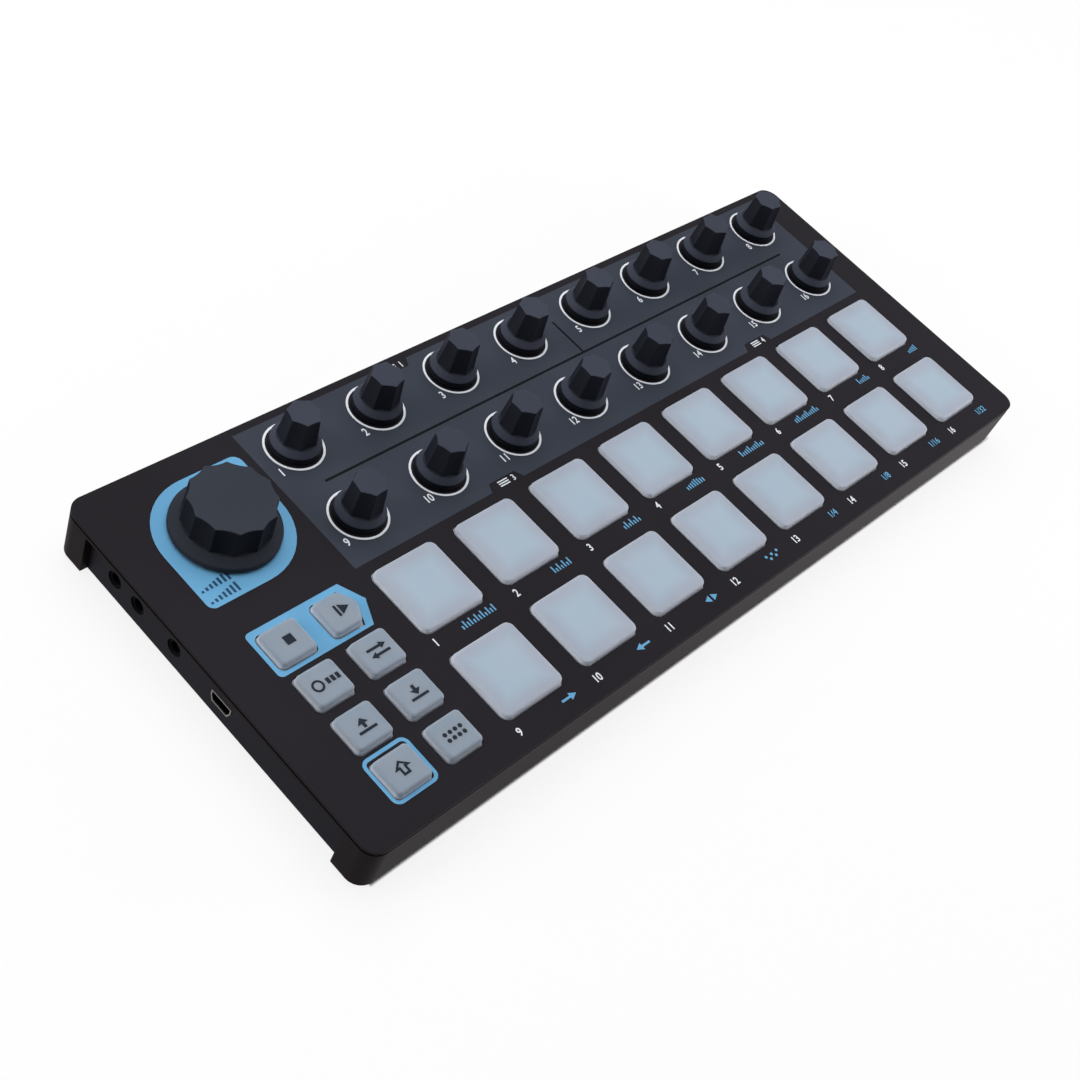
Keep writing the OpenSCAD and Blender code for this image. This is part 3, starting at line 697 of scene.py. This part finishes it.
def dialZoneOutline(form):
    half, inner = form["tabWide"] / 2, form["tabWide"] / 2 - form["tabSlope"]
    y0, y1, deep = form["y0"], form["y1"], form["tabDeep"]
    points = [(form["x0"], y0)]
    for x in form["tabs"]:
        points += [(x - half, y0), (x - inner, y0 + deep), (x + inner, y0 + deep), (x + half, y0)]
    points += [(form["x1"], y0), (form["x1"], y1)]
    for x in reversed(form["tabs"]):
        points += [(x + half, y1), (x + inner, y1 - deep), (x - inner, y1 - deep), (x - half, y1)]
    return points + [(form["x0"], y1)]


bm = bmesh.new()
shaftHoles = [circle(x, y, dialZone["bare"]) for x, y in knobSpots]
addShape(bm, [dialZoneOutline(dialZone)] + shaftHoles, **inkLow)
settle(bm, "dial_zone", ["slateInk"], "case")

bm = bmesh.new()
for x, y in knobSpots:
    addShape(bm, [circle(x, y, dialRing[side], dialRing["steps"]) for side in ("outer", "inner")],
             **inkHigh)
settle(bm, "dial_rings", ["whiteInk"], "case")

bm = bmesh.new()
for line in dialLines:
    addShape(bm, [bar(*line)], **inkHigh)
settle(bm, "dial_lines", ["blackInk"], "case")

figures = {
    "dialTall": 2.75, "dialOff": (-9.3, -5.9),
    "padTall": 2.6, "padOffBack": (-10.5, -14.6), "padOffFront": (-10.5, -15.7),
    "tabTall": 2.2, "tabIn": 1.3, "tabOff": 3.4,
    "stack": (-2.6, 1.4), "stackRises": (-0.8, 0.0, 0.8), "stackHalf": 0.2,  # bars beside each tab's number
}


def padOff(i):
    return figures["padOffBack"] if i < perRow else figures["padOffFront"]


bm = bmesh.new()
for i, (x, y) in enumerate(knobSpots):
    dx, dy = figures["dialOff"]
    addFigures(bm, str(i + 1), x + dx, y + dy, figures["dialTall"], **inkHigh)
for i, (x, y) in enumerate(padSpots):
    dx, dy = padOff(i)
    addFigures(bm, str(i + 1), x + dx, y + dy, figures["padTall"], **inkHigh)
for i, x in enumerate(dialZone["tabs"]):
    back, front = dialZone["y1"] - figures["tabIn"], dialZone["y0"] + figures["tabIn"]
    left, right = (x + end for end in figures["stack"])
    for y, figure in ((back, i + 1), (front, i + 3)):
        addFigures(bm, str(figure), x + figures["tabOff"], y, figures["tabTall"], **inkHigh)
        for rise in figures["stackRises"]:
            low, high = y + rise - figures["stackHalf"], y + rise + figures["stackHalf"]
            addShape(bm, [bar(left, right, low, high)], **inkHigh)
settle(bm, "plate_figures", ["whiteInk"], "case")
print("dial print made")

levelZone = {
    "left": 19.35, "right": 18.95, "front": 19.35, "back": 19.05,
    "wideCorner": 18.9, "frontCorner": 2.2, "backCorner": 2.8, "hole": 4.2,
}
transportZone = {
    "x0": -141.7, "shoulder": -110.1, "tip": -106.4, "y0": -10.2, "y1": 5.0, "corner": 1.5,
    "bluntLong": 0.4, "bluntHalf": 0.7, "keyGap": 0.4,
}
shiftFrame = {"wide": 15.2, "deep": 14.7, "line": 1.05, "corner": 2.4, "middle": (-133.7, -47.05)}

bm = bmesh.new()
x, y = levelSpot
form = levelZone
corners = (form["frontCorner"], form["wideCorner"], form["backCorner"], form["wideCorner"])
leaf = roundedBox(x - form["left"], x + form["right"], y - form["front"], y + form["back"], corners)
addShape(bm, [leaf, circle(x, y, form["hole"])], **inkLow)

form = transportZone
y0, y1, tipX = form["y0"], form["y1"], form["tip"]
middle, bluntX = (y0 + y1) / 2, tipX - form["bluntLong"]
tip = [(form["shoulder"], y0), (bluntX, middle - form["bluntHalf"]), (tipX, middle),
       (bluntX, middle + form["bluntHalf"]), (form["shoulder"], y1)]
field = pointedBox(form["x0"], y0, y1, form["corner"], tip)
halfWide = buttonForm["wide"] / 2 + form["keyGap"]
halfDeep = buttonForm["deep"] / 2 + form["keyGap"]
corner = buttonForm["corner"] + form["keyGap"]
x, y = buttonSpots["stop"]
stopHole = roundedBox(x - halfWide, x + halfWide, y - halfDeep, y + halfDeep, (corner,) * 4)
x, y = buttonSpots["play"]
neck = x + halfWide - buttonForm["point"]
tip = [(neck, y - halfDeep), (x + halfWide, y), (neck, y + halfDeep)]
playHole = pointedBox(x - halfWide, y - halfDeep, y + halfDeep, corner, tip)
addShape(bm, [field, stopHole, playHole], **inkLow)

x, y = shiftFrame["middle"]
rings = []
for inward in (0.0, shiftFrame["line"]):
    wide, deep = shiftFrame["wide"] / 2 - inward, shiftFrame["deep"] / 2 - inward
    rings.append(roundedBox(x - wide, x + wide, y - deep, y + deep,
                            (shiftFrame["corner"] - inward,) * 4))
addShape(bm, rings, **inkLow)
settle(bm, "blue_fields", ["blueInk"], "case")

padSign = {
    "right": 11.7, "tall": 2.4,  # each sign ends on the right, in line with the pad's number
    "ticks": ("485848584858", "8484848", "4848484", "45678765",
              "84568456845", "568456845684", "845684", "45678"),  # heights in eighths
    "tickStep": 1.1, "tickWide": 0.48,
    "lineLong": 3.2, "lineHalf": 0.35, "headLong": 2.4, "pairLong": 2.2, "pairGap": 1.0,
    "dots": ((-0.6, 0.7), (-2.1, -0.6), (-3.3, 0.5), (-4.8, -0.7), (-5.9, 0.6)),
    "dot": 0.5, "dotSteps": 20,
    "shares": ("1/4", "1/8", "1/16", "1/32"),
    "lettering": {**lettering, "narrow": 0.95, "stroke": 0.03},
}


def tickRow(pattern, right, level, form):
    foot = level - form["tall"] / 2
    ends = [right - i * form["tickStep"] for i in range(len(pattern))]
    return [bar(end - form["tickWide"], end, foot, foot + form["tall"] * int(eighths) / 8)
            for end, eighths in zip(ends, reversed(pattern))]


def arrow(right, level, way, form):  # its point lies to the right or to the left
    long, head = form["lineLong"], form["headLong"]
    left = right - long - (head if way > 0 else 0)
    start = left + long if way > 0 else left
    line = bar(left, left + long, level - form["lineHalf"], level + form["lineHalf"])
    return [line, arrowHead(start, level, head, form["tall"], way)]


def arrowPair(right, level, form):
    start = right - form["pairLong"]
    return [arrowHead(start, level, form["pairLong"], form["tall"], 1),
            arrowHead(start - form["pairGap"], level, form["pairLong"], form["tall"], -1)]


bm = bmesh.new()
for i, (x, y) in enumerate(padSpots):
    right, level = x + padSign["right"], y + padOff(i)[1]
    column = i % perRow
    shapes = []
    if i < perRow:  # the back row has ticks, the front row one sign after another
        shapes = tickRow(padSign["ticks"][column], right, level, padSign)
    elif column < 2:
        shapes = arrow(right, level, 1 if column == 0 else -1, padSign)
    elif column == 2:
        shapes = arrowPair(right, level, padSign)
    elif column == 3:
        shapes = [circle(right + dx, level + dy, padSign["dot"], padSign["dotSteps"])
                  for dx, dy in padSign["dots"]]
    else:
        addFigures(bm, padSign["shares"][column - 4], right, level, padSign["tall"], **inkHigh,
                   form=padSign["lettering"], atRight=True)
    for shape in shapes:
        addShape(bm, [shape], **inkHigh)
settle(bm, "pad_signs", ["blueInk"], "case")

levelSign = {  # two rows of growing bars by the level knob
    "feet": (-13.9, -17.9), "left": -18.0, "bars": 7, "step": 1.45, "wide": 0.75,
    "short": 0.7, "grow": 0.38,
}
bm = bmesh.new()
for footOff in levelSign["feet"]:
    foot = levelSpot[1] + footOff
    for i in range(levelSign["bars"]):
        left = levelSpot[0] + levelSign["left"] + i * levelSign["step"]
        tall = levelSign["short"] + i * levelSign["grow"]
        addShape(bm, [bar(left, left + levelSign["wide"], foot, foot + tall)], **inkHigh)
settle(bm, "level_sign", ["navyInk"], "case")
print("plate print made")


# Signs on the buttons, each rides with its own: shapes in mm from the button's middle

tray = bar(-2.9, 2.9, -2.1, -1.3)
buttonSigns = {
    "stop": [[bar(-1.4, 1.4, -1.4, 1.4)]],
    "play": [[bar(-1.8, -1.0, -1.8, 1.8)], [arrowHead(-0.5, 0, 3.0, 3.4, 1)]],
    "mode": [[circle(-2.5, 0, 1.8, 40), circle(-2.5, 0, 1.15, 40)]]
            + [[bar(left, left + 1.1, -0.9, 0.9)] for left in (0.2, 1.8, 3.4)],
    "sync": [[bar(-3.2, 1.2, 0.7, 1.5)], [arrowHead(1.2, 1.1, 2.0, 2.2, 1)],
             [bar(-1.2, 3.2, -1.5, -0.7)], [arrowHead(-1.2, -1.1, 2.0, 2.2, -1)]],
    "recall": [[tray], [bar(-0.5, 0.5, -0.9, 0.4)], [[(-1.7, 0.4), (1.7, 0.4), (0, 2.1)]]],
    "store": [[tray], [bar(-0.5, 0.5, 0.7, 2.1)], [[(-1.7, 0.7), (0, -1.0), (1.7, 0.7)]]],
    "shift": [[[(-1.2, -2.0), (1.2, -2.0), (1.2, 0), (2.7, 0), (0, 2.4), (-2.7, 0), (-1.2, 0)],
               [(-0.5, -1.3), (0.5, -1.3), (0.5, 0.65), (1.05, 0.65), (0, 1.55), (-1.05, 0.65),
                (-0.5, 0.65)]]],
    "channel": [[circle(x, y, 0.65, 20)] for x in (-2.7, -0.9, 0.9, 2.7) for y in (-0.95, 0.95)],
}
signShift = {"stop": (0.4, 0.15), "play": (0.2, 0.3)}  # off the middle
signCoat = {"sunk": 0.05, "proud": 0.02}

for word in buttonNames:
    dx, dy = signShift.get(word, (0, 0))
    x, y = buttonSpots[word][0] + dx, buttonSpots[word][1] + dy
    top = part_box(f"{word}_button")[1].z / mm
    bm = bmesh.new()
    for rings in buttonSigns[word]:
        moved = [[(x + a, y + b) for a, b in ring] for ring in rings]
        addShape(bm, moved, top - signCoat["sunk"], top + signCoat["proud"])
    settle(bm, f"sign_{word}", ["legendInk"], f"{word}_button")
print("signs made")


# Table, lamps and surroundings

studio = {
    "table": 3.0, "clear": 0.05,  # half size in metres, gap in mm below the feet
    "tableTone": 0.22, "seenTone": 0.9, "grainTone": 0.02, "grainScale": 30,
    "bright": (0.85, 1.0), "brightSpan": (0.45, 1.1),  # near the part, and far off
    "mirror": (0.5, 1.0), "mirrorSpan": (-0.2, 0.25),  # painted light: brighter towards the right, as the walls mirror it, from left to right
    "footX": 2.5,  # middle of the footprint, clear of the end recess
    "under": ((152.8, 153.6), (61.5, 62.3)),  # half sizes of the dark footprint, soft between
    "beside": ((90.0, 140.0), (58.0, 84.0)), "besideDim": 0.2,  # painted shadow: dimmer near the part, where the walls mirror it
    "world": 0.09,
}

bm = bmesh.new()
bmesh.ops.create_grid(bm, x_segments=1, y_segments=1, size=studio["table"])
bmesh.ops.translate(bm, vec=(0, 0, -studio["clear"] * mm), verts=bm.verts)
floorMesh = bpy.data.meshes.new("table")
bm.to_mesh(floorMesh)
bm.free()
floor = bpy.data.objects.new("table", floorMesh)
scene.collection.objects.link(floor)
floorMaterial, wire = startMaterial("tableWhite")
at = wire.add("TexCoord", out="Object")
reach = [abs(wire.axis(at, "X") - studio["footX"] * mm), abs(wire.axis(at, "Y"))]


def footprint(spans):  # 1 within a soft-edged box round the part
    shares = [1 - axis.ease(low * mm, high * mm) for axis, (low, high) in zip(reach, spans)]
    return shares[0] * shares[1]


def lightPath(wire, *kinds):  # 1 for these kinds of ray
    rays = [wire.add("LightPath", out=f"Is {kind} Ray") for kind in kinds]
    total = rays[0]
    for ray in rays[1:]:
        total = total + ray
    return total


dim, full = studio["mirror"]
# painted light: the floor that the walls mirror grows brighter towards the right
sheen = dim + (full - dim) * wire.axis(at, "X").ease(*studio["mirrorSpan"])
byCamera = lightPath(wire, "Camera")
mirrored = lightPath(wire, "Glossy", "Transmission")
near, far = studio["bright"]
away = wire.add("VectorMath", {"operation": "LENGTH"}, {0: at}, "Value").ease(*studio["brightSpan"])
# the floor's glow is taken off under the part; mirror rays see a painted shadow beside it
seen = (byCamera * (near + (far - near) * away) * (1 - footprint(studio["under"]))
        + mirrored * sheen * (1 - footprint(studio["beside"]) * studio["besideDim"]))
grain = wire.noise(at, studio["grainScale"])
paint = wire.blend(grain, (studio["seenTone"],) * 3, (studio["seenTone"] + studio["grainTone"],) * 3)
shade = wire.blend(byCamera, (studio["tableTone"],) * 3, paint)
matt = wire.add("BsdfDiffuse", None, {"Color": shade})
glow = wire.add("Emission", None, {"Color": (1, 1, 1), "Strength": 1.0})
mixed = wire.add("MixShader", None, {0: seen, 1: matt, 2: glow})
wire.add("OutputMaterial", None, {"Surface": mixed})
floorMesh.materials.append(floorMaterial)

world = bpy.data.worlds.new("studio")
scene.world = world
world.use_nodes = True
world.node_tree.nodes.clear()
wire = Wire(world.node_tree)
seen = lightPath(wire, "Camera", "Glossy", "Transmission")
strength = seen * (1 - studio["world"]) + studio["world"]
air = wire.add("Background", None, {"Color": (1, 1, 1), "Strength": strength})
wire.add("OutputWorld", None, {"Surface": air})

lamps = {
    "backLamp": {"place": (0.15, 0.35, 1.25), "size": 1.5, "power": 17.3, "colour": (1.0, 1.0, 1.0)},
    "leftLamp": {"place": (-0.9, 0.45, 0.35), "size": 0.7, "power": 5.5, "colour": (1.0, 0.98, 0.96)},
    "frontLamp": {"place": (0.62, -0.5, 0.2), "size": 0.4, "power": 3.0, "colour": (1.0, 0.95, 0.93)},
}
for lampName, lamp in lamps.items():
    data = bpy.data.lights.new(lampName, "AREA")
    data.shape = "DISK"
    data.size = lamp["size"]
    data.energy = lamp["power"]
    data.color = lamp["colour"]
    lampObject = bpy.data.objects.new(lampName, data)
    place = Vector(lamp["place"])
    aim = (-place).to_track_quat("-Z", "Y").to_matrix().to_4x4()
    lampObject.matrix_world = Matrix.Translation(place) @ aim
    scene.collection.objects.link(lampObject)
print("studio lit")
